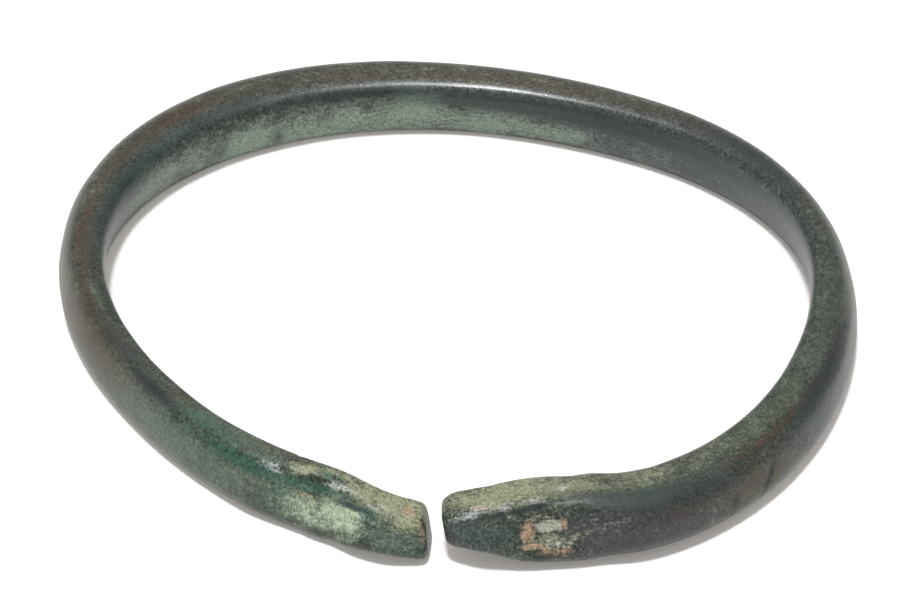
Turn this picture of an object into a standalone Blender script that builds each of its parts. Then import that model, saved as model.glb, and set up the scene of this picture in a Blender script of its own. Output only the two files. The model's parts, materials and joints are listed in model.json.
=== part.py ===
"""Currency bracelet: one bar of copper alloy, forged to a rounded D and bent into an open oval ring.

The ring lies flat. +X points to the right, -Y to the gap between the two hammered ends and +Z up.
The bar is a loft of unlike sections: thin and tall at its sides, thick at the back and the front, and
squared by hammering at both ends. Everything is in metres, and bearings are in degrees from +X towards the
back of the ring.
"""

from collections import namedtuple

import bmesh
import bpy
import numpy as np

# Plan of the ring, along the crest of the bar
PLAN_RADIUS = 0.0307
GAP_BEARING = -95.3
GAP_WIDTH = 0.0016

# The ring was bent by hand and isn't round: each swell moves the crest out at so many places round
# the ring, by a share of the plan radius, with the first of them at its bearing
Swell = namedtuple("Swell", "count share bearing")
SWELLS = (
    Swell(2, 0.0799, -21.9),
    Swell(3, 0.0223, 29.4),
    Swell(4, 0.0029, 41.2),
    Swell(5, 0.0073, 15.8),
)

# The bar at mid-length. Its crest divides the thickness into an outer share, which is rounder, and an
# inner share, which is squarer. The outer side narrows upwards by its taper, the whole section is
# turned by the lean, in degrees, so that its top leans inwards, and the underside is worn flat by the
# worn depth
BAR_THICKNESS = 0.0055
BAR_HEIGHT = 0.0062
OUTER_SHARE = 0.64
OUTER_SQUARENESS = 2.6
INNER_SQUARENESS = 3.0
OUTER_TAPER = 0.12
LEAN = 10.0
WORN_DEPTH = 0.00015

# The bar along its length: "at" runs from 0 at the right end to 1 at the left end, the other two
# are shares of the thickness and height at mid-length
BodyStation = namedtuple("BodyStation", "at thickness height")
BODY = (
    BodyStation(0.00, 1.27, 0.92),
    BodyStation(0.09, 1.20, 0.94),
    BodyStation(0.17, 0.96, 0.93),
    BodyStation(0.25, 0.73, 1.06),
    BodyStation(0.31, 0.68, 1.05),
    BodyStation(0.38, 0.82, 1.04),
    BodyStation(0.50, 1.00, 1.00),
    BodyStation(0.62, 1.14, 1.02),
    BodyStation(0.76, 0.72, 0.95),
    BodyStation(0.90, 0.67, 0.96),
    BodyStation(1.00, 1.32, 0.89),
)

# The hammered ends: "reach" is the distance in from the end face, thickness and height are shares of
# the bar's own, "shift" moves the section outwards, "lift" raises it, "squareness" is added to the
# bar's, and so is "taper", by which the outer side narrows from the ground to the crest
EndStation = namedtuple("EndStation", "reach thickness height shift lift squareness taper")
RIGHT_END = (
    EndStation(0.0000, 0.58, 0.61, 0.0000, 0.0016, 2.0, 0.15),
    EndStation(0.0032, 0.84, 0.67, -0.0003, 0.0015, 2.0, 0.25),
    EndStation(0.0070, 1.03, 0.92, -0.0011, 0.0003, 1.5, 0.40),
    EndStation(0.0110, 1.00, 1.04, -0.0008, 0.0000, 0.5, 0.25),
    EndStation(0.0160, 1.00, 1.00, 0.0000, 0.0000, 0.0, 0.00),
)
LEFT_END = (
    EndStation(0.0000, 0.61, 0.71, 0.0000, 0.0001, 2.0, 0.40),
    EndStation(0.0034, 0.79, 0.84, 0.0011, 0.0001, 2.0, 0.45),
    EndStation(0.0068, 0.70, 0.97, 0.0006, 0.0001, 1.5, 0.45),
    EndStation(0.0105, 0.74, 1.02, 0.0002, 0.0000, 0.5, 0.25),
    EndStation(0.0150, 1.00, 1.00, 0.0000, 0.0000, 0.0, 0.00),
)
END_ROUNDING = 0.0004
END_ROUNDING_STEPS = 3

# Blows of the hammer: "around" is the direction from the middle of the bar, 0 outwards and 90 up,
# "slant" turns the blow by degrees for each metre of reach, and a negative depth is a raised burr
Blow = namedtuple("Blow", "reach length around breadth slant depth")
RIGHT_BLOWS = (
    Blow(0.0085, 0.0026, 60.0, 18.0, 0.0, -0.00026),
    Blow(0.0070, 0.0045, 28.0, 16.0, 0.0, 0.00026),
    Blow(0.0095, 0.0030, -12.0, 24.0, 0.0, 0.00022),
)
LEFT_BLOWS = (
    Blow(0.0062, 0.0028, 36.0, 16.0, 9000.0, 0.00042),
    Blow(0.0084, 0.0020, 68.0, 18.0, 0.0, -0.00022),
    Blow(0.0072, 0.0008, -52.0, 28.0, 0.0, 0.00022),
    Blow(0.0036, 0.0028, 90.0, 35.0, 0.0, 0.00018),
)

# How finely the loft is cut, and the angle in degrees above which an edge is shaded sharp
BODY_STEP = 0.0015
END_STEP = 0.0006
END_ZONE = 0.0150
POINTS_AROUND = 28
PLAN_SAMPLES = 4000

SHARP_EDGE = 40.0

PATINA_COLOUR = (0.060, 0.085, 0.065, 1.0)
PATINA_ROUGHNESS = 0.42
PATINA_METALLIC = 0.35


def smooth_through(stations, place):
    """Values of the stations at each place, on a smooth curve that passes through every station."""
    table = np.array(stations)
    places, values = table[:, 0], table[:, 1:]
    slopes = np.gradient(values, places, axis=0)
    place = np.clip(place, places[0], places[-1])
    after = np.clip(np.searchsorted(places, place, side="right"), 1, len(places) - 1)
    before = after - 1
    span = (places[after] - places[before])[:, None]
    u = (place - places[before])[:, None] / span
    rise = (2 * u**3 - 3 * u**2 + 1) * values[before] + (3 * u**2 - 2 * u**3) * values[after]
    lean = (u**3 - 2 * u**2 + u) * slopes[before] + (u**3 - u**2) * slopes[after]
    return rise + lean * span


def plan_curve():
    """Crest line of the bar in plan, its length from the right end, and its outward direction."""
    around = np.radians(np.linspace(GAP_BEARING, GAP_BEARING + 360, PLAN_SAMPLES))
    radius = np.full(PLAN_SAMPLES, PLAN_RADIUS)
    for swell in SWELLS:
        from_peak = around - np.radians(swell.bearing)
        radius += PLAN_RADIUS * swell.share * np.cos(swell.count * from_peak)
    points = np.stack([radius * np.cos(around), radius * np.sin(around)], axis=1)
    steps = np.linalg.norm(np.diff(points, axis=0), axis=1)
    length = np.concatenate([[0], np.cumsum(steps)]) - GAP_WIDTH / 2
    along = np.gradient(points, axis=0)
    along /= np.linalg.norm(along, axis=1)[:, None]
    outward = np.stack([along[:, 1], -along[:, 0]], axis=1)
    return points, length, outward


def section_places(bar_length):
    """Distances from the right end at which a section stands, closer together at the two ends."""
    rounding = END_ROUNDING * (1 - np.cos(np.linspace(0, np.pi / 2, END_ROUNDING_STEPS + 1)[:-1]))
    end_count = round((END_ZONE - END_ROUNDING) / END_STEP)
    end = np.linspace(END_ROUNDING, END_ZONE, end_count + 1)
    body_count = round((bar_length - 2 * END_ZONE) / BODY_STEP)
    body = np.linspace(END_ZONE, bar_length - END_ZONE, body_count + 1)[1:-1]
    start = np.concatenate([rounding, end])
    return np.concatenate([start, body, bar_length - start[::-1]])


def end_inset(reach):
    """How far the rounded edge of an end face draws the section in."""
    inside = np.clip(1 - reach / END_ROUNDING, 0, 1)
    return END_ROUNDING * (1 - np.sqrt(1 - inside**2))


def lean_in(out, up):
    """Turns the points of each section about its middle, so that its top leans inwards."""
    lean = np.radians(LEAN)
    return out * np.cos(lean) - up * np.sin(lean), out * np.sin(lean) + up * np.cos(lean)


def blow_depth(blows, reach, around):
    """Depth of all the blows at each reach and each direction from the middle of the bar."""
    depth = np.zeros((len(reach), around.shape[1]))
    for blow in blows:
        turned = blow.around + blow.slant * (reach - blow.reach)
        away = (around - turned[:, None] + 180) % 360 - 180
        spread = (away / blow.breadth) ** 2 + ((reach - blow.reach) / blow.length)[:, None] ** 2
        depth += blow.depth * np.exp(-spread)
    return depth


def bar_sections():
    """Points of every section, as an array of sections, points around and x, y, z."""
    plan, plan_length, plan_outward = plan_curve()
    bar_length = plan_length[-1] - GAP_WIDTH / 2
    place = section_places(bar_length)
    from_right, from_left = place, bar_length - place

    thickness, height = smooth_through(BODY, place / bar_length).T
    right, left = smooth_through(RIGHT_END, from_right), smooth_through(LEFT_END, from_left)
    thickness = BAR_THICKNESS * thickness * right[:, 0] * left[:, 0]
    height = BAR_HEIGHT * height * right[:, 1] * left[:, 1]
    shift, lift, squareness, taper = (right[:, 2:] + left[:, 2:]).T
    inset = end_inset(from_right) + end_inset(from_left)

    turn = np.linspace(0, 2 * np.pi, POINTS_AROUND, endpoint=False)[None, :]
    outer = np.cos(turn) >= 0
    power = 2 / (np.where(outer, OUTER_SQUARENESS, INNER_SQUARENESS) + squareness[:, None])
    half = np.where(outer, OUTER_SHARE, 1 - OUTER_SHARE) * thickness[:, None] - inset[:, None]
    out = half * np.sign(np.cos(turn)) * np.abs(np.cos(turn)) ** power
    rise = np.sign(np.sin(turn)) * np.abs(np.sin(turn)) ** power
    out *= np.where(outer, 1 - (OUTER_TAPER + taper)[:, None] * (1 + rise) / 2, 1)
    up = (height / 2 - inset)[:, None] * rise

    middle = (OUTER_SHARE - 0.5) * thickness[:, None]
    out, up = lean_in(out - middle, up)
    around = np.degrees(np.arctan2(up, out))
    dent = blow_depth(RIGHT_BLOWS, from_right, around) + blow_depth(LEFT_BLOWS, from_left, around)
    kept = 1 - dent / np.hypot(out, up)
    depth = -up.min(axis=1, keepdims=True)
    out = middle + out * kept + shift[:, None]
    above_ground = up * kept + depth + lift[:, None] - WORN_DEPTH

    centre = np.stack([np.interp(place, plan_length, plan[:, k]) for k in range(2)], axis=1)
    outward = np.stack([np.interp(place, plan_length, plan_outward[:, k]) for k in range(2)], axis=1)
    ground = centre[:, None, :] + out[:, :, None] * outward[:, None, :]
    return np.concatenate([ground, np.maximum(above_ground, 0)[:, :, None]], axis=2)


def stand_at_origin(sections):
    """Moves the ring so that the middle of its box is over the origin."""
    corners = sections.reshape(-1, 3)
    middle = (corners.min(axis=0) + corners.max(axis=0)) / 2
    return sections - [middle[0], middle[1], 0]


def loft(sections):
    """Closed mesh that runs through the sections, with a flat cap at each end."""
    model = bmesh.new()
    rings = [[model.verts.new(point) for point in section] for section in sections]
    for here, there in zip(rings, rings[1:]):
        for k in range(POINTS_AROUND):
            following = (k + 1) % POINTS_AROUND
            model.faces.new((here[k], there[k], there[following], here[following]))
    model.faces.new(rings[0])
    model.faces.new(rings[-1][::-1])
    bmesh.ops.recalc_face_normals(model, faces=model.faces)
    mesh = bpy.data.meshes.new("bracelet")
    model.to_mesh(mesh)
    model.free()
    return mesh


def patina():
    """Dark green-black patina of buried copper alloy."""
    material = bpy.data.materials.new("bronze patina")
    material.use_nodes = True
    shader = material.node_tree.nodes["Principled BSDF"]
    shader.inputs["Base Color"].default_value = PATINA_COLOUR
    shader.inputs["Roughness"].default_value = PATINA_ROUGHNESS
    shader.inputs["Metallic"].default_value = PATINA_METALLIC
    return material


def clear_scene():
    for item in list(bpy.data.objects):
        bpy.data.objects.remove(item, do_unlink=True)


def build_bracelet():
    collection = bpy.data.collections.new("currency bracelet")
    bpy.context.scene.collection.children.link(collection)
    mesh = loft(stand_at_origin(bar_sections()))
    mesh.materials.append(patina())
    mesh.shade_smooth()
    mesh.set_sharp_from_angle(angle=np.radians(SHARP_EDGE))
    bracelet = bpy.data.objects.new("bracelet", mesh)
    collection.objects.link(bracelet)
    return bracelet


clear_scene()
build_bracelet()
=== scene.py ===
# Currency bracelet, dressed. One bar of copper alloy was forged to a rounded D, bent into an open oval
# ring and hammered at both ends. It lies flat, with the gap towards -Y and +Z up, in metres.

import json
from collections import namedtuple
from math import cos, pi, radians, sin

import bmesh
import bpy
import numpy as np
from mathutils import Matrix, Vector, kdtree, noise

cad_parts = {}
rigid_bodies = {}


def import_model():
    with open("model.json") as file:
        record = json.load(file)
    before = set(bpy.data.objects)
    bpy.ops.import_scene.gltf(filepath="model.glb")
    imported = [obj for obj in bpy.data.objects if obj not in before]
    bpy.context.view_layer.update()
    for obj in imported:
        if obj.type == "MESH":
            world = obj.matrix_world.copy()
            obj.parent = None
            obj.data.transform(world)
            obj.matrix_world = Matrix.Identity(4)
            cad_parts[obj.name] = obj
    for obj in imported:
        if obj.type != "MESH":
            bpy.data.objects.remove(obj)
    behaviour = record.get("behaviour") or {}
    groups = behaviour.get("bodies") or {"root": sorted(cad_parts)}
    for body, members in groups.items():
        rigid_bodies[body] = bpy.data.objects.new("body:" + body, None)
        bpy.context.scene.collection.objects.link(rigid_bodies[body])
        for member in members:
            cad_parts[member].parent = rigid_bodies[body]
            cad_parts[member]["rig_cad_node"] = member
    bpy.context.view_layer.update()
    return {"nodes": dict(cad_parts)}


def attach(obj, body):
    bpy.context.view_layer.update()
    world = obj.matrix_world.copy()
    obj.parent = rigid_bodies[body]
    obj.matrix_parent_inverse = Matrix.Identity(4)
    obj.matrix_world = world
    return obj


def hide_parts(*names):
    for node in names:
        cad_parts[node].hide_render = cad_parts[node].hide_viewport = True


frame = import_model()

# The bar
# A solid forged bar of bronze. Its mesh is a closer copy of the solid: loose triangles are merged and
# paired to even faces, each end face gets rings of its own, and the worn sole is laid in rungs.
MERGE_WITHIN = 1e-6
GROUND = 1e-6
RIGHT_END_FACES = Vector((-0.986, 0.168, 0.0))
LEFT_END_FACES = Vector((0.978, -0.209, 0.0))
GAP_X = -0.0028
GAP_REACH = 0.0015
GAP_FRONT_OF = -0.026
SAME_FACING = 0.9995
END_FACE_RINGS = (0.78, 0.62, 0.45)
RUNG_CHOICES = 12
RUNG_APART = 6
FINE_LEVELS = 2


def pick_faces(piece, wanted):
    """Selects those faces of the piece, in edit mode, that pass the test."""
    bpy.ops.mesh.select_all(action="DESELECT")
    shape = bmesh.from_edit_mesh(piece.data)
    for face in shape.faces:
        face.select = bool(wanted(face))
    bmesh.update_edit_mesh(piece.data)


def on_end_face(direction):
    """A test for the flat faces at one end of the bar, beside the gap."""
    direction = direction.normalized()

    def test(face):
        middle = face.calc_center_median()
        beside_gap = middle.y < GAP_FRONT_OF and abs(middle.x - GAP_X) < GAP_REACH
        return beside_gap and face.normal.dot(direction) > SAME_FACING

    return test


def on_ground(face):
    """Whether the whole face lies on the ground, as only the worn sole does."""
    return all(corner.co.z < GROUND for corner in face.verts)


def lay_rungs(piece):
    """Splits the one face of the worn sole by a rung between each corner and the one across."""
    shape = bmesh.from_edit_mesh(piece.data)
    sole = next(face for face in shape.faces if on_ground(face))
    rim = list(sole.verts)
    count = len(rim)
    finder = kdtree.KDTree(count)
    for k, corner in enumerate(rim):
        finder.insert(corner.co, k)
    finder.balance()

    def across(k):
        for _, other, _ in finder.find_n(rim[k].co, RUNG_CHOICES):
            if min((other - k) % count, (k - other) % count) > RUNG_APART:
                return other
        return None

    pairs = {tuple(sorted((k, across(k)))) for k in range(count) if across(k) is not None}
    pairs = [pair for pair in pairs if across(pair[0]) == pair[1] and across(pair[1]) == pair[0]]
    for first, second in sorted(pairs):
        a, b = rim[first], rim[second]
        shared = [face for face in a.link_faces if on_ground(face) and b in face.verts]
        if shared and not any(edge.other_vert(a) is b for edge in a.link_edges):
            bmesh.utils.face_split(shared[0], a, b)
    bmesh.update_edit_mesh(piece.data)


bpy.ops.object.select_all(action="DESELECT")
solid = frame["nodes"]["bracelet"]
solid.select_set(True)
bpy.context.view_layer.objects.active = solid
bpy.ops.object.duplicate()
bar = bpy.context.active_object
bar.name = "forged_bar"
bar.data.name = "forged_bar"
del bar["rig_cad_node"]

bpy.ops.object.mode_set(mode="EDIT")
bpy.ops.mesh.select_mode(type="FACE")
bpy.ops.mesh.customdata_custom_splitnormals_clear()
bpy.ops.mesh.select_all(action="SELECT")
bpy.ops.mesh.remove_doubles(threshold=MERGE_WITHIN)
for end in (RIGHT_END_FACES, LEFT_END_FACES):
    pick_faces(bar, on_end_face(end))
    bpy.ops.mesh.dissolve_faces()
pick_faces(bar, on_ground)
bpy.ops.mesh.dissolve_faces()
pick_faces(bar, lambda face: len(face.verts) == 3)
bpy.ops.mesh.tris_convert_to_quads(face_threshold=pi, shape_threshold=pi, topology_influence=1.0)
lay_rungs(bar)
for end in (RIGHT_END_FACES, LEFT_END_FACES):
    pick_faces(bar, on_end_face(end))
    end_face = next(face for face in bmesh.from_edit_mesh(bar.data).faces if face.select)
    end_middle = end_face.calc_center_median()
    for share in END_FACE_RINGS:
        bpy.ops.mesh.extrude_region_move()
        bpy.ops.transform.resize(value=(share, share, share), center_override=end_middle)
    bpy.ops.mesh.poke()
bpy.ops.object.mode_set(mode="OBJECT")

finer = bar.modifiers.new("finer", "SUBSURF")
finer.levels = FINE_LEVELS
finer.render_levels = FINE_LEVELS
bpy.ops.object.modifier_apply(modifier=finer.name)
bpy.ops.object.shade_smooth()

# Hammer marks
# The bar was beaten to shape and its ends were squared off cold, which left low planished flats, ridges
# and dents. A chip, pits and a few scratches came later.

# Marks and stains are placed by where they lie on the bar: "at" is the distance along it from the right
# end, or from the left end where it is negative, and "around" is the direction from its middle.
CREST_RADIUS = 0.0307
CREST_CENTRE = (0.000242, 0.000240)
CREST_SWELLS = ((2, 0.0799, -21.9), (3, 0.0223, 29.4), (4, 0.0029, 41.2), (5, 0.0073, 15.8))
GAP_BEARING = -95.3
GAP_WIDTH = 0.0016
CREST_SAMPLES = 4000
BAR_SLICES = 160
DEGREES_PER_METRE = 1 / 0.000055


def crest_line():
    """The crest of the bar in plan: points, distance from the right end, outward direction."""
    bearing = np.radians(np.linspace(GAP_BEARING, GAP_BEARING + 360, CREST_SAMPLES))
    radius = np.full(CREST_SAMPLES, CREST_RADIUS)
    for count, share, peak in CREST_SWELLS:
        radius += CREST_RADIUS * share * np.cos(count * (bearing - radians(peak)))
    points = np.stack([radius * np.cos(bearing), radius * np.sin(bearing)], axis=1)
    points += CREST_CENTRE
    steps = np.linalg.norm(np.diff(points, axis=0), axis=1)
    distance = np.concatenate([[0], np.cumsum(steps)]) - GAP_WIDTH / 2
    along = np.gradient(points, axis=0)
    along /= np.linalg.norm(along, axis=1)[:, None]
    return points, distance, np.stack([along[:, 1], -along[:, 0]], axis=1)


def places_on_bar(mesh):
    """For each point of the mesh, its distance from the right end and its direction, in degrees."""
    corners = np.zeros(len(mesh.vertices) * 3)
    mesh.vertices.foreach_get("co", corners)
    corners = corners.reshape(-1, 3)
    points, distance, outward = crest_line()
    finder = kdtree.KDTree(CREST_SAMPLES)
    for k, point in enumerate(points):
        finder.insert((point[0], point[1], 0), k)
    finder.balance()
    nearest = np.array([finder.find((x, y, 0))[1] for x, y, _ in corners])
    away = corners[:, :2] - points[nearest]
    along = np.stack([-outward[nearest, 1], outward[nearest, 0]], axis=1)
    place = distance[nearest] + (away * along).sum(axis=1)
    out = (away * outward[nearest]).sum(axis=1)
    up = corners[:, 2]

    # The middle of the bar is the middle of each thin slice across it.
    stops = np.linspace(place.min(), place.max(), BAR_SLICES)
    slices = np.clip(np.searchsorted(stops, place) - 1, 0, len(stops) - 2)
    middles = np.array([[(out[slices == k].min() + out[slices == k].max()) / 2,
                         (up[slices == k].min() + up[slices == k].max()) / 2]
                        for k in range(len(stops) - 1)])
    centres = (stops[1:] + stops[:-1]) / 2
    middle_out = np.interp(place, centres, middles[:, 0])
    middle_up = np.interp(place, centres, middles[:, 1])
    around = np.degrees(np.arctan2(up - middle_up, out - middle_out))
    return corners, place, around


corners, place, around = places_on_bar(bar.data)
bar_length = place.max()
from_ends = np.minimum(place, bar_length - place)


def along_bar(at):
    """The distance from the right end; a negative place counts from the left end."""
    return at if at >= 0 else bar_length + at


def turned_from(direction):
    """How far each point lies round the bar from a direction, in metres of surface."""
    return ((around - direction + 180) % 360 - 180) / DEGREES_PER_METRE


def spread_of(at, direction, length, breadth, lean=0):
    """How far each point of the bar lies from the middle of a patch, where 1 is the patch's edge."""
    on = place - along_bar(at)
    off = turned_from(direction)
    turn = radians(lean)
    lengthwise = (on * cos(turn) + off * sin(turn)) / length
    crosswise = (off * cos(turn) - on * sin(turn)) / (breadth / DEGREES_PER_METRE)
    return np.hypot(lengthwise, crosswise)


def ease(share):
    """A share held between 0 and 1, with soft turns at both ends."""
    share = np.clip(share, 0, 1)
    return share * share * (3 - 2 * share)


def line_reach(start, finish, width):
    """1 on the line between two (at, around) places on the bar, fading to 0 at its width."""
    first_at, last_at = along_bar(start[0]), along_bar(finish[0])
    rise = (finish[1] - start[1]) / DEGREES_PER_METRE
    on, off = place - first_at, turned_from(start[1])
    length = (last_at - first_at) ** 2 + rise ** 2
    share = np.clip((on * (last_at - first_at) + off * rise) / length, 0, 1)
    away = np.hypot(on - share * (last_at - first_at), off - share * rise)
    return ease(1 - away / width)


# Depths, lengths and widths are in metres, and directions, breadths and leans in degrees.
FLATS_DEPTH = 0.00005
FLATS_SIZE = 0.0045
FLATS_OFFSET = 3.0
END_FLATS_DEPTH = 0.00007
END_FLATS_SIZE = 0.0016
END_FLATS_OFFSET = 11.0
ENDS_REACH = 0.014
Dent = namedtuple("Dent", "at around length breadth lean depth")
DENTS = (
    Dent(0.0086, 14, 0.0022, 24, 0, 0.00012),
    Dent(0.0040, 20, 0.0022, 22, 0, 0.00010),
    Dent(0.0030, 108, 0.0020, 30, 0, 0.00010),
    Dent(0.0098, 84, 0.0018, 18, 0, 0.00010),
    Dent(-0.0078, 24, 0.0026, 34, 0, 0.00008),
    Dent(-0.0024, 12, 0.0016, 26, 0, 0.00012),
    Dent(-0.0026, 112, 0.0018, 26, 0, 0.00012),
    Dent(-0.0092, 78, 0.0022, 9, 12, 0.00010),
    Dent(-0.0150, 62, 0.0020, 12, 0, 0.00008),
    Dent(-0.0064, 136, 0.0042, 44, 0, -0.00014),
    Dent(0.0086, -36, 0.0036, 26, 0, -0.00028),
    Dent(-0.0014, -40, 0.0024, 30, 0, -0.00018),
    Dent(0.0085, 128, 0.0034, 36, 0, 0.00016),
    Dent(0.0150, 128, 0.0030, 36, 0, -0.00012),
)
DENT_EDGE = 0.8
Groove = namedtuple("Groove", "start finish width depth")
GROOVES = (
    Groove((-0.0052, 82), (-0.0038, 56), 0.00065, 0.00020),
    Groove((-0.0038, 56), (-0.0026, 26), 0.00065, 0.00016),
    Groove((-0.0100, 70), (-0.0056, 76), 0.00070, 0.00012),
    Groove((-0.0056, 60), (-0.0054, -6), 0.00040, -0.00010),
    Groove((0.0012, 44), (0.0052, 62), 0.00090, -0.00008),
    Groove((0.0052, 62), (0.0082, 70), 0.00090, -0.00010),
    Groove((0.0048, 52), (0.0110, 53), 0.00080, 0.00016),
    Groove((0.0066, 44), (0.0100, 42), 0.00035, 0.00008),
    Groove((0.0278, 30), (0.0262, -16), 0.00025, 0.00007),
    Groove((0.0236, 20), (0.0231, -20), 0.00025, 0.00004),
    Groove((0.0246, 10), (0.0242, -14), 0.00025, 0.00003),
)
PIT_SEED = 7
PIT_COUNT = 240
PIT_SIZES = (0.00022, 0.00050)
PIT_DEPTHS = (0.00002, 0.00006)
GROUND_CLEAR = 0.0008
END_FACE_CLEAR = 0.0004

# Over its reach an end is skewed out of square and pushed along, forward and down. All the corners of its
# face are rounded, and its crown is rounded more.
End = namedtuple("End", "reach skew push forward drop rounding crown")
RIGHT_END = End(reach=0.0040, skew=-0.215, push=0.0, forward=0.0, drop=0.00012,
                rounding=0.16, crown=0.20)
LEFT_END = End(reach=0.0050, skew=-0.160, push=0.00030, forward=0.00030, drop=0.0,
               rounding=0.10, crown=0.04)
ROUNDED_REACH = 0.0011
CROWN_REACH = 0.0018
CROWN_RISE = 0.0022
HOLLOW_FROM_END = 0.0034
HOLLOW_REACH = 0.0044
HOLLOW_SHARE = 0.30
HOLLOW_SLANT = 0.13
SIGHT_ELEVATION = 40.0
SIGHT_UP = Vector((0, sin(radians(SIGHT_ELEVATION)), cos(radians(SIGHT_ELEVATION))))


def field_of(size, offset):
    """Smooth unevenness over the bar, about -1 to 1, with lumps of the given size."""
    shift = Vector((offset, offset, offset))
    return np.array([noise.noise(Vector(corner) / size + shift) for corner in corners])


near_ends = ease(1 - from_ends / ENDS_REACH)
relief = FLATS_DEPTH * field_of(FLATS_SIZE, FLATS_OFFSET)
relief += END_FLATS_DEPTH * near_ends * field_of(END_FLATS_SIZE, END_FLATS_OFFSET)
for dent in DENTS:
    spread = spread_of(dent.at, dent.around, dent.length, dent.breadth, dent.lean)
    relief -= dent.depth * ease((1 + DENT_EDGE / 2 - spread) / DENT_EDGE)
for groove in GROOVES:
    relief -= groove.depth * line_reach(groove.start, groove.finish, groove.width)
rng = np.random.default_rng(PIT_SEED)
for _ in range(PIT_COUNT):
    size = rng.uniform(*PIT_SIZES)
    depth = rng.uniform(*PIT_DEPTHS)
    pit = corners[rng.integers(len(corners))]
    relief -= depth * ease(1 - np.linalg.norm(corners - pit, axis=1) / size)

facing = np.zeros(len(corners) * 3)
bar.data.vertices.foreach_get("normal", facing)
facing = facing.reshape(-1, 3)
relief *= ease(corners[:, 2] / GROUND_CLEAR) * ease(from_ends / END_FACE_CLEAR)
corners += facing * relief[:, None]

# Each end was cut a little out of square, and its corners are worn round. "raised" is the height above
# the middle of the end face as the photo shows it, from 40 degrees above the ground.
for end, from_end in ((RIGHT_END, place), (LEFT_END, bar_length - place)):
    near = ease(1 - from_end / end.reach)
    middle = corners[from_end < END_FACE_CLEAR].mean(axis=0)
    raised = (corners - middle) @ np.array(SIGHT_UP)
    worn = end.rounding * np.clip(1 - from_end / ROUNDED_REACH, 0, 1)[:, None] ** 2
    crown = end.crown * np.clip(1 - from_end / CROWN_REACH, 0, 1) ** 2
    crown = (crown * ease(raised / CROWN_RISE))[:, None]
    corners += (middle - corners) * (worn + crown)
    corners[:, 0] += near * (end.push + end.skew * raised)
    corners[:, 1] -= near * end.forward
    corners[:, 2] -= near * end.drop

# The left end is hollow below, so it stands a little clear of the ground.
from_left = bar_length - place
raised = (corners - corners[from_left < END_FACE_CLEAR].mean(axis=0)) @ np.array(SIGHT_UP)
under = np.maximum(HOLLOW_SLANT * from_left - raised, 0)
lift = HOLLOW_SHARE * under * ease(1 - np.abs(from_left - HOLLOW_FROM_END) / HOLLOW_REACH)
corners += lift[:, None] * np.array(SIGHT_UP)
corners[:, 2] = np.maximum(corners[:, 2], 0)
bar.data.vertices.foreach_set("co", corners.ravel())
bar.data.update()

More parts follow.
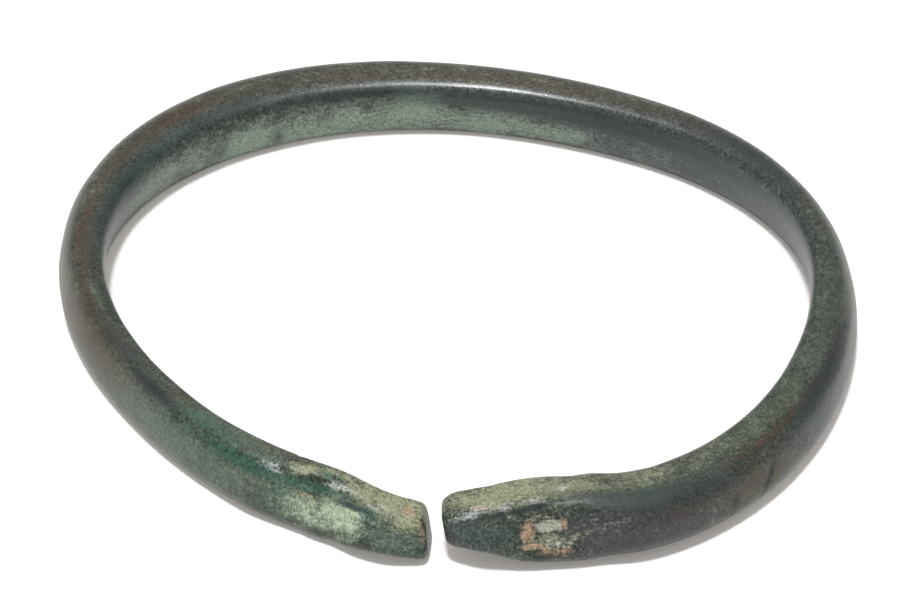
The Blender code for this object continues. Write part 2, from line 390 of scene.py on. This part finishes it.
# Stains
# Burial left the bronze in many tones, and handling wore them through. Each tone is kept on the bar as
# an attribute between 0 and 1, made of soft patches that fall to half their strength at their edge. The
# rubbed tone is worn metal and a painted highlight as well: pale grey on the ridges of the ends, for
# glints.
PATCH_EDGE = 0.5
Patch = namedtuple("Patch", "at around length breadth lean strength")
STAINS = {
    "olive": (
        Patch(0.0150, 105, 0.0090, 32, 0, 0.84),
        Patch(0.0290, 105, 0.0110, 26, 0, 0.60),
        Patch(0.0700, 135, 0.0060, 10, 0, 0.36),
        Patch(0.0430, 102, 0.0100, 24, 0, 0.44),
        Patch(-0.0250, 100, 0.0110, 20, 0, 0.42),
        Patch(-0.0170, 104, 0.0060, 22, 0, 0.75),
        Patch(0.0460, 10, 0.0140, 50, 0, 0.50),
        Patch(0.0163, 22, 0.0005, 6, 0, 0.95),
        Patch(0.1386, 85, 0.0006, 9, 0, 0.90),
        Patch(0.1360, 76, 0.0004, 14, 0, 0.90),
        Patch(0.1500, 128, 0.0008, 12, 0, 0.90),
        Patch(0.1000, 90, 0.0300, 9, 0, 0.45),
        Patch(-0.0166, 26, 0.0022, 26, 0, 0.62),
        Patch(-0.0142, 40, 0.0014, 16, 0, 0.70),
        Patch(-0.0214, 20, 0.0020, 30, 0, 0.50),
        Patch(-0.0116, 8, 0.0012, 24, 0, 0.85),
    ),
    "brown": (
        Patch(0.0960, 104, 0.0260, 17, 0, 0.85),
        Patch(0.1250, 97, 0.0080, 17, 0, 0.85),
        Patch(0.1420, 92, 0.0140, 18, 0, 0.80),
        Patch(0.1560, 25, 0.0110, 60, 0, 0.95),
        Patch(0.0600, 100, 0.0120, 14, 0, 0.36),
        Patch(-0.0246, 101, 0.0014, 11, 0, 0.80),
        Patch(0.0255, 14, 0.0060, 40, 0, 0.75),
        Patch(0.0405, 54, 0.0034, 16, 0, 0.60),
    ),
    "slate": (
        Patch(0.0660, 185, 0.0210, 62, 0, 1.00),
        Patch(0.0035, 12, 0.0032, 34, 0, 0.48),
        Patch(0.1390, 190, 0.0110, 50, 0, 0.70),
        Patch(0.0420, -10, 0.0100, 30, 0, 0.60),
        Patch(0.0350, 30, 0.0060, 30, 0, 0.60),
    ),
    "purple": (
        Patch(0.0155, 10, 0.0060, 40, 0, 0.95),
        Patch(0.0205, 30, 0.0040, 20, 0, 0.60),
    ),
    "teal": (
        Patch(-0.0240, 5, 0.0095, 60, 0, 0.95),
        Patch(0.0030, 12, 0.0030, 30, 0, 0.42),
        Patch(-0.0125, 0, 0.0030, 50, 0, 0.70),
        Patch(-0.0024, 14, 0.0026, 34, 0, 1.00),
        Patch(-0.0036, 62, 0.0010, 16, -50, 0.90),
        Patch(-0.0180, 92, 0.0050, 18, 0, 0.60),
        Patch(-0.0400, 100, 0.0040, 10, 0, 0.40),
        Patch(0.1300, 130, 0.0100, 14, 0, 0.35),
    ),
    "verdigris": (
        Patch(0.1080, 200, 0.0200, 40, 0, 0.76),
        Patch(0.0910, 204, 0.0050, 24, 0, 0.90),
        Patch(0.0868, 202, 0.0016, 20, 0, 0.85),
        Patch(0.0955, 206, 0.0020, 30, 0, 0.95),
        Patch(0.1020, 186, 0.0030, 38, 0, 1.00),
        Patch(0.1090, 190, 0.0030, 26, 0, 0.95),
        Patch(0.1190, 196, 0.0034, 32, 0, 1.00),
        Patch(0.1300, 184, 0.0070, 30, 0, 0.62),
    ),
    "red_brown": (
        Patch(0.0315, 70, 0.0065, 8, 0, 1.00),
        Patch(0.0390, 66, 0.0060, 7, 0, 0.60),
        Patch(0.0270, 69, 0.0050, 5, 0, 0.70),
        Patch(0.1255, 92, 0.0045, 13, 0, 0.85),
        Patch(0.1440, 92, 0.0050, 10, 0, 0.65),
        Patch(0.1535, 84, 0.0050, 9, 0, 0.60),
        Patch(0.1563, 44, 0.0014, 26, 0, 0.70),
        Patch(0.0185, 30, 0.0030, 18, 0, 0.50),
        Patch(0.0270, 8, 0.0024, 26, 0, 0.60),
        Patch(0.0235, 0, 0.0012, 22, 0, 0.50),
        Patch(0.1320, 92, 0.0030, 10, 0, 0.50),
        Patch(0.1560, 28, 0.0070, 40, 0, 0.56),
    ),
    "khaki": (
        Patch(0.0046, 112, 0.0048, 42, 0, 0.98),
        Patch(0.0100, 106, 0.0040, 32, 0, 0.60),
        Patch(0.0170, 114, 0.0050, 24, 0, 0.38),
        Patch(-0.0032, 108, 0.0044, 36, 0, 0.92),
        Patch(-0.0104, 96, 0.0013, 13, 25, 0.86),
        Patch(-0.0070, 112, 0.0028, 16, 0, 0.80),
        Patch(-0.0012, 68, 0.0011, 34, 0, 0.90),
        Patch(0.0086, 2, 0.0018, 10, 0, 0.62),
        Patch(-0.0152, 38, 0.0003, 4, 0, 0.62),
        Patch(-0.0144, 32, 0.0003, 4, 0, 0.62),
        Patch(-0.0160, 45, 0.0003, 4, 0, 0.62),
        Patch(-0.0206, 50, 0.0003, 5, 0, 0.62),
        Patch(-0.0190, 56, 0.0003, 4, 0, 0.62),
    ),
    "emerald": (
        Patch(-0.0160, 62, 0.0062, 18, 0, 0.80),
        Patch(-0.0092, 71, 0.0036, 10, 10, 1.00),
        Patch(-0.0064, 68, 0.0018, 9, 8, 1.00),
        Patch(-0.0200, 88, 0.0050, 16, 0, 0.60),
        Patch(-0.0119, 30, 0.0008, 24, 0, 0.80),
        Patch(-0.0078, 98, 0.0014, 7, 0, 0.75),
        Patch(-0.0042, 72, 0.0008, 16, -50, 0.85),
        Patch(0.0440, 96, 0.0120, 20, 0, 0.22),
        Patch(0.0160, 76, 0.0050, 12, 0, 0.45),
        Patch(0.1330, 125, 0.0100, 16, 0, 0.38),
    ),
    "mint": (
        Patch(-0.0066, 24, 0.0018, 40, 4, 1.00),
        Patch(-0.0057, 55, 0.0010, 12, 0, 0.95),
        Patch(-0.0094, 16, 0.0026, 44, 0, 0.57),
        Patch(-0.0088, -16, 0.0030, 16, 0, 0.62),
    ),
    "rust": (
        Patch(0.0069, 20, 0.0005, 17, 0, 1.00),
        Patch(0.0097, 30, 0.0003, 10, 0, 0.85),
        Patch(0.0082, 44, 0.0014, 3, 0, 0.36),
        Patch(0.0090, -13, 0.0016, 4, 0, 0.62),
        Patch(0.0074, -6, 0.0009, 5, 0, 0.70),
        Patch(-0.0013, 104, 0.0005, 14, 0, 0.75),
        Patch(-0.0003, 40, 0.0004, 44, 0, 0.52),
        Patch(-0.0098, 48, 0.0009, 5, 0, 0.60),
        Patch(0.0033, 70, 0.0007, 9, 0, 0.50),
    ),
    "stone": (
        Patch(0.0085, 27, 0.0012, 11, 0, 1.00),
        Patch(0.0094, -4, 0.0018, 12, 0, 0.54),
        Patch(0.0080, 43, 0.0012, 4, 0, 0.56),
        Patch(0.0032, 70, 0.0010, 11, 0, 0.80),
        Patch(0.0054, 52, 0.0003, 6, 0, 0.95),
        Patch(0.0052, 112, 0.0003, 6, 0, 0.90),
        Patch(-0.0033, 96, 0.0010, 8, 0, 0.55),
    ),
    "black": (
        Patch(0.0060, 56, 0.0036, 5, 12, 0.95),
        Patch(0.0145, 64, 0.0036, 16, -12, 0.95),
        Patch(0.0185, 62, 0.0056, 18, -8, 0.85),
        Patch(0.0395, 56, 0.0075, 18, 0, 0.95),
        Patch(0.0250, 61, 0.0080, 4, 0, 0.60),
        Patch(0.0870, 150, 0.0140, 15, 0, 1.00),
        Patch(0.1080, 140, 0.0110, 9, 0, 0.75),
        Patch(0.1220, 128, 0.0070, 15, 0, 0.66),
        Patch(0.1350, 126, 0.0110, 20, 0, 0.62),
        Patch(0.1470, 112, 0.0080, 12, 0, 0.45),
        Patch(0.0450, 92, 0.0120, 16, 0, 0.38),
        Patch(-0.0275, 82, 0.0034, 9, 0, 0.95),
        Patch(0.0690, 103, 0.0080, 15, 0, 0.66),
        Patch(-0.0330, 90, 0.0060, 14, 0, 0.55),
        Patch(-0.0059, 69, 0.0013, 6, 10, 0.95),
        Patch(-0.0005, 24, 0.0004, 6, 0, 0.90),
        Patch(0.0088, 34, 0.0016, 2, 0, 0.80),
        Patch(0.0078, -20, 0.0006, 4, 0, 0.85),
        Patch(0.1160, 205, 0.0006, 22, 0, 0.60),
        Patch(0.1222, 200, 0.0007, 14, 0, 0.60),
        Patch(0.0270, 7, 0.0003, 26, -35, 0.95),
        Patch(0.0233, 0, 0.0003, 20, -12, 0.80),
    ),
    "polished": (
        Patch(0.0915, 128, 0.0066, 24, 0, 0.85),
        Patch(0.0890, 128, 0.0130, 24, 0, 0.40),
    ),
    # Worn bare metal on the ridges of the ends, painted pale grey as a painted highlight where the glints
    # fall.
    "rubbed_and_glint": (
        Patch(0.0022, 51, 0.0015, 8, 25, 0.60),
        Patch(0.0052, 65, 0.0009, 7, 25, 0.60),
        Patch(0.0074, 73, 0.0010, 6, 0, 0.68),
        Patch(0.0100, 100, 0.0004, 8, 0, 0.52),
        Patch(-0.0133, 76, 0.0012, 7, 0, 0.66),
        Patch(-0.0075, 88, 0.0015, 6, 14, 0.70),
        Patch(-0.0040, 84, 0.0008, 8, 0, 0.58),
    ),
}

lie = bar.data.attributes.new("lie", "FLOAT_VECTOR", "POINT")
round_bar = (around + 90) % 360 / DEGREES_PER_METRE
lies = np.stack([place, round_bar, 0 * place], axis=1)
lie.data.foreach_set("vector", lies.astype(np.float32).ravel())
pitted = bar.data.attributes.new("pitted", "FLOAT", "POINT")
pitted.data.foreach_set("value", near_ends.astype(np.float32))
for tone, patches in STAINS.items():
    amount = np.zeros(len(place))
    for patch in patches:
        spread = spread_of(patch.at, patch.around, patch.length, patch.breadth, patch.lean)
        amount = np.maximum(amount, patch.strength * PATCH_EDGE ** (spread ** 2))
    layer = bar.data.attributes.new(tone, "FLOAT", "POINT")
    layer.data.foreach_set("value", amount.astype(np.float32))

# Patina
# Dark green-black oxide under grey-green and brown corrosion, rubbed to a soft sheen. It is built from a
# mottled ground, the stains above with broken edges, among them painted highlights on the ridges of the
# ends, and fine light and dark specks.
GROUND_TONES = (
    (0.26, (0.014, 0.020, 0.015)),
    (0.50, (0.030, 0.039, 0.030)),
    (0.76, (0.060, 0.073, 0.055)),
)
Tone = namedtuple("Tone", "colour raggedness softness cover")
TONES = {
    "olive": Tone((0.092, 0.104, 0.073), 0.9, 0.50, 0.80),
    "brown": Tone((0.062, 0.050, 0.034), 0.7, 0.50, 0.88),
    "slate": Tone((0.031, 0.042, 0.051), 0.8, 0.50, 0.88),
    "purple": Tone((0.037, 0.036, 0.042), 0.9, 0.40, 0.88),
    "teal": Tone((0.070, 0.104, 0.081), 0.9, 0.45, 0.85),
    "verdigris": Tone((0.188, 0.242, 0.192), 1.15, 0.45, 0.95),
    "red_brown": Tone((0.038, 0.024, 0.014), 1.0, 0.45, 0.88),
    "khaki": Tone((0.240, 0.256, 0.162), 1.2, 0.42, 0.92),
    "emerald": Tone((0.024, 0.074, 0.052), 0.9, 0.40, 0.85),
    "mint": Tone((0.320, 0.395, 0.275), 0.6, 0.36, 0.95),
    "stone": Tone((0.310, 0.310, 0.255), 0.6, 0.20, 0.95),
    "rust": Tone((0.300, 0.200, 0.130), 1.0, 0.32, 0.85),
    "black": Tone((0.009, 0.016, 0.018), 1.2, 0.45, 0.88),
    # Pale grey for worn bare metal that is also a painted highlight: it stands in for the glints on the
    # ridges of the ends.
    "rubbed_and_glint": Tone((0.330, 0.350, 0.345), 0.9, 0.24, 0.72),
}
GLOSS_SHIFT = {
    "khaki": 0.24,
    "mint": 0.26,
    "verdigris": 0.20,
    "stone": 0.24,
    "rust": 0.24,
    "black": 0.24,
    "rubbed_and_glint": -0.12,
    "red_brown": 0.10,
}
Lumps = namedtuple("Lumps", "size detail roughness")
BROAD = Lumps(0.0032, 3, 0.55)
MIDDLING = Lumps(0.0009, 4, 0.65)
FINE = Lumps(0.00026, 3, 0.60)
GRAIN = Lumps(0.00014, 2, 0.55)
STREAKS = Lumps(0.00032, 3, 0.55)
STREAKS_DRAWN = (0.22, 1, 1)
NOISE_LOW = 0.30
NOISE_HIGH = 0.70
STAIN_EDGE = 0.5
STAIN_THIN = 0.70
STAIN_THICKER = 0.60
SPECKLE_DARK = 0.28
SPECKLE_LIGHT = 1.82
GROUND_SHARES = (0.26, 0.28, 0.46)
BREAKUP_SHARES = (0.34, 0.24, 0.22, 0.20)
SPECKLE_SHARES = (0.5, 0.5)


def new_group(name, inputs, outputs):
    """An empty node group with named sockets, and its inner input and output nodes."""
    group = bpy.data.node_groups.new(name, "ShaderNodeTree")
    for label, kind in inputs:
        group.interface.new_socket(label, in_out="INPUT", socket_type=kind)
    for label, kind in outputs:
        group.interface.new_socket(label, in_out="OUTPUT", socket_type=kind)
    return group, group.nodes.new("NodeGroupInput"), group.nodes.new("NodeGroupOutput")


def spread_noise(tree, vector, lumps):
    """Noise with lumps of the given size in metres, stretched to fill 0 to 1."""
    texture = tree.nodes.new("ShaderNodeTexNoise")
    texture.inputs["Scale"].default_value = 1 / lumps.size
    texture.inputs["Detail"].default_value = lumps.detail
    texture.inputs["Roughness"].default_value = lumps.roughness
    tree.links.new(vector, texture.inputs["Vector"])
    fill = tree.nodes.new("ShaderNodeMapRange")
    fill.inputs["From Min"].default_value = NOISE_LOW
    fill.inputs["From Max"].default_value = NOISE_HIGH
    tree.links.new(texture.outputs["Fac"], fill.inputs["Value"])
    return fill.outputs["Result"]


def reckon(tree, operation, first, second):
    """The result of one sum on two values, each a number or another node's output."""
    node = tree.nodes.new("ShaderNodeMath")
    node.operation = operation
    for socket, value in zip(node.inputs, (first, second)):
        if isinstance(value, (int, float)):
            socket.default_value = value
        else:
            tree.links.new(value, socket)
    return node.outputs[0]


def mix_of(tree, values, shares):
    """Several values added up, each times its share."""
    total = None
    for value, share in zip(values, shares):
        part = reckon(tree, "MULTIPLY", value, share)
        total = part if total is None else reckon(tree, "ADD", total, part)
    return total


def scaled(tree, colour, factor):
    """A colour made darker or lighter by a factor."""
    node = tree.nodes.new("ShaderNodeVectorMath")
    node.operation = "SCALE"
    tree.links.new(colour, node.inputs[0])
    tree.links.new(factor, node.inputs["Scale"])
    return node.outputs[0]


def value_on_bar(tree, name):
    """Reads one of the values kept on the bar."""
    node = tree.nodes.new("ShaderNodeAttribute")
    node.attribute_name = name
    return node.outputs["Fac"]


FLOAT, COLOUR = "NodeSocketFloat", "NodeSocketColor"

# A stain laid over what is below it: where its amount, roughened by noise, passes one half.
stain_group, stain_in, stain_out = new_group(
    "Broken stain",
    (("Below", COLOUR), ("Stain", COLOUR), ("Amount", FLOAT), ("Noise", FLOAT), ("Raggedness", FLOAT),
     ("Softness", FLOAT), ("Cover", FLOAT)),
    (("Colour", COLOUR), ("Mask", FLOAT)))
shake = reckon(stain_group, "SUBTRACT", stain_in.outputs["Noise"], STAIN_EDGE)
shake = reckon(stain_group, "MULTIPLY", shake, stain_in.outputs["Raggedness"])
level = reckon(stain_group, "ADD", stain_in.outputs["Amount"], shake)
fade_from = reckon(stain_group, "SUBTRACT", STAIN_EDGE, stain_in.outputs["Softness"])
fade_to = reckon(stain_group, "ADD", STAIN_EDGE, stain_in.outputs["Softness"])
fade = stain_group.nodes.new("ShaderNodeMapRange")
fade.interpolation_type = "SMOOTHSTEP"
stain_group.links.new(level, fade.inputs["Value"])
stain_group.links.new(fade_from, fade.inputs["From Min"])
stain_group.links.new(fade_to, fade.inputs["From Max"])
cover = reckon(stain_group, "MULTIPLY", fade.outputs["Result"], stain_in.outputs["Cover"])
thickness = reckon(stain_group, "MULTIPLY", stain_in.outputs["Noise"], STAIN_THICKER)
thickness = reckon(stain_group, "ADD", thickness, STAIN_THIN)
lay = stain_group.nodes.new("ShaderNodeMix")
lay.data_type = "RGBA"
stain_group.links.new(cover, lay.inputs["Factor"])
stain_group.links.new(stain_in.outputs["Below"], lay.inputs["A"])
stain_group.links.new(scaled(stain_group, stain_in.outputs["Stain"], thickness), lay.inputs["B"])
stain_group.links.new(lay.outputs["Result"], stain_out.inputs["Colour"])
stain_group.links.new(cover, stain_out.inputs["Mask"])

patina = bpy.data.materials.new("patina")
patina.use_nodes = True
tree = patina.node_tree
shader = tree.nodes["Principled BSDF"]
coordinates = tree.nodes.new("ShaderNodeTexCoord").outputs["Object"]
broad = spread_noise(tree, coordinates, BROAD)
middling = spread_noise(tree, coordinates, MIDDLING)
fine = spread_noise(tree, coordinates, FINE)
grain = spread_noise(tree, coordinates, GRAIN)

ground_level = mix_of(tree, (broad, middling, fine), GROUND_SHARES)
ground = tree.nodes.new("ShaderNodeValToRGB")
ramp = ground.color_ramp
for _ in range(len(GROUND_TONES) - len(ramp.elements)):
    ramp.elements.new(0.5)
for stop, (at, tone_colour) in zip(ramp.elements, GROUND_TONES):
    stop.position = at
    stop.color = (*tone_colour, 1)
tree.links.new(ground_level, ground.inputs["Fac"])

# Streaks run along the bar, as the hammer drew the metal out.
lie_reader = tree.nodes.new("ShaderNodeAttribute")
lie_reader.attribute_name = "lie"
drawn = tree.nodes.new("ShaderNodeVectorMath")
drawn.operation = "MULTIPLY"
drawn.inputs[1].default_value = STREAKS_DRAWN
tree.links.new(lie_reader.outputs["Vector"], drawn.inputs[0])
streaks = spread_noise(tree, drawn.outputs[0], STREAKS)
breakup = mix_of(tree, (middling, fine, streaks, broad), BREAKUP_SHARES)
below = ground.outputs["Color"]
covers = {}
for name, tone in TONES.items():
    stain = tree.nodes.new("ShaderNodeGroup")
    stain.node_tree = stain_group
    stain.inputs["Stain"].default_value = (*tone.colour, 1)
    stain.inputs["Raggedness"].default_value = tone.raggedness
    stain.inputs["Softness"].default_value = tone.softness
    stain.inputs["Cover"].default_value = tone.cover
    tree.links.new(below, stain.inputs["Below"])
    tree.links.new(value_on_bar(tree, name), stain.inputs["Amount"])
    tree.links.new(breakup, stain.inputs["Noise"])
    below = stain.outputs["Colour"]
    covers[name] = stain.outputs["Mask"]

# Fine light and dark specks run through every tone.
speckle = tree.nodes.new("ShaderNodeMapRange")
speckle.inputs["To Min"].default_value = SPECKLE_DARK
speckle.inputs["To Max"].default_value = SPECKLE_LIGHT
tree.links.new(mix_of(tree, (grain, fine), SPECKLE_SHARES), speckle.inputs["Value"])
tree.links.new(scaled(tree, below, speckle.outputs["Result"]), shader.inputs["Base Color"])

# Thick corrosion is dull, and the crest at the back is worn to a polish.
GLOSSIEST = 0.27
DULLEST = 0.42
POLISH_GLOSS = 0.12
POLISH_COAT = 0.9
COAT_ROUGHNESS = 0.24
METAL_SHINE = 0.42
gloss = tree.nodes.new("ShaderNodeMapRange")
gloss.inputs["To Min"].default_value = GLOSSIEST
gloss.inputs["To Max"].default_value = DULLEST
tree.links.new(fine, gloss.inputs["Value"])
dull = gloss.outputs["Result"]
for name, shift in GLOSS_SHIFT.items():
    dull = reckon(tree, "ADD", dull, reckon(tree, "MULTIPLY", covers[name], shift))
polish = value_on_bar(tree, "polished")
dull = reckon(tree, "SUBTRACT", dull, reckon(tree, "MULTIPLY", polish, POLISH_GLOSS))
tree.links.new(dull, shader.inputs["Roughness"])
tree.links.new(reckon(tree, "MULTIPLY", polish, POLISH_COAT), shader.inputs["Coat Weight"])
shader.inputs["Coat Roughness"].default_value = COAT_ROUGHNESS
shader.inputs["Specular IOR Level"].default_value = METAL_SHINE

# Fine pitting, deeper near the ends and filled a little where the bar is polished, and a finer grain.
PITTING_DEPTH = 0.000011
PITTING_AT_ENDS = 1.2
POLISH_FILLS = 0.10
GRAIN_DEPTH = 0.000005
height = reckon(tree, "MULTIPLY", value_on_bar(tree, "pitted"), PITTING_AT_ENDS)
height = reckon(tree, "ADD", height, 1.0)
height = reckon(tree, "SUBTRACT", height, reckon(tree, "MULTIPLY", polish, POLISH_FILLS))
height = reckon(tree, "MULTIPLY", height, reckon(tree, "ADD", fine, middling))
pitting = tree.nodes.new("ShaderNodeBump")
pitting.inputs["Strength"].default_value = 1.0
pitting.inputs["Distance"].default_value = PITTING_DEPTH
tree.links.new(height, pitting.inputs["Height"])
graining = tree.nodes.new("ShaderNodeBump")
graining.inputs["Strength"].default_value = 1.0
graining.inputs["Distance"].default_value = GRAIN_DEPTH
tree.links.new(grain, graining.inputs["Height"])
tree.links.new(pitting.outputs["Normal"], graining.inputs["Normal"])
tree.links.new(graining.outputs["Normal"], shader.inputs["Normal"])

bar.data.materials.clear()
bar.data.materials.append(patina)

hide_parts("bracelet")
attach(bar, "root")

# The floor
# A sheet of matt white paper lies under the bracelet, wide enough to fill every view. It glows faintly,
# which lifts the bracelet's shadow to the pale grey of the photo.
PAPER_SIZE = 6.0
PAPER_COLOUR = (0.86, 0.86, 0.86, 1)
PAPER_GLOW = (1.0, 0.92, 0.86, 1)
bpy.ops.object.select_all(action="DESELECT")
bpy.ops.mesh.primitive_plane_add(size=PAPER_SIZE, location=(0, 0, 0))
floor = bpy.context.active_object
floor.name = "floor"
paper = bpy.data.materials.new("paper")
paper.use_nodes = True
paper_shader = paper.node_tree.nodes["Principled BSDF"]
paper_shader.inputs["Base Color"].default_value = PAPER_COLOUR
paper_shader.inputs["Roughness"].default_value = 0.9
paper_shader.inputs["Specular IOR Level"].default_value = 0.2
paper_shader.inputs["Emission Color"].default_value = PAPER_GLOW
paper_shader.inputs["Emission Strength"].default_value = 0.15
floor.data.materials.append(paper)

# Light
# Two soft studio lamps in an even pale room, both a little to the left. The key, 12 degrees in front of
# overhead, lights the bracelet and casts its shadows, and the glint, overhead, makes the highlights.
Lamp = namedtuple("Lamp", "name tilt width colour lights shines")
LAMPS = (
    Lamp("key", tilt=12.0, width=8, colour=(1.0, 1.0, 1.0), lights=True, shines=False),
    Lamp("glint", tilt=0.0, width=16, colour=(0.94, 0.97, 1.0), lights=False, shines=True),
)
LAMPS_LEFT = -4.0
LAMPS_STRENGTH = 2.6
ROOM_COLOUR = (0.56, 0.55, 0.54, 1)
for lamp in LAMPS:
    sun = bpy.data.lights.new(lamp.name, "SUN")
    sun.energy = LAMPS_STRENGTH
    sun.angle = radians(lamp.width)
    sun.color = lamp.colour
    hung = bpy.data.objects.new(lamp.name, sun)
    hung.rotation_euler = (radians(lamp.tilt), radians(LAMPS_LEFT), 0)
    hung.visible_glossy = lamp.shines
    hung.visible_diffuse = lamp.lights
    bpy.context.scene.collection.objects.link(hung)
room = bpy.data.worlds.new("room")
room.use_nodes = True
room.node_tree.nodes["Background"].inputs["Color"].default_value = ROOM_COLOUR
bpy.context.scene.world = room
bpy.context.scene.view_settings.view_transform = "Standard"

# Camera
# It looks down on the ring from 40 degrees, from the side of the gap, through a long lens. The shift, in
# parts of the photo's 920 pixels, brings the ring to its place in the frame.
TURN = 0.0228
DISTANCE = 0.44152
SENSOR_WIDTH = 36.0
FOCAL_LENGTH = 195.65
PHOTO_WIDTH = 920
SHIFT_ACROSS = 3.5511
SHIFT_UP = 19.4903
camera_data = bpy.data.cameras.new("camera")
camera_data.sensor_width = SENSOR_WIDTH
camera_data.lens = FOCAL_LENGTH
camera_data.shift_x = SHIFT_ACROSS / PHOTO_WIDTH
camera_data.shift_y = SHIFT_UP / PHOTO_WIDTH
camera = bpy.data.objects.new("camera", camera_data)
over_floor = cos(radians(SIGHT_ELEVATION))
forward = Vector((over_floor * sin(TURN), over_floor * cos(TURN), -sin(radians(SIGHT_ELEVATION))))
camera.location = -forward * DISTANCE
camera.rotation_mode = "QUATERNION"
camera.rotation_quaternion = forward.to_track_quat("-Z", "Y")
bpy.context.scene.collection.objects.link(camera)
bpy.context.scene.camera = camera
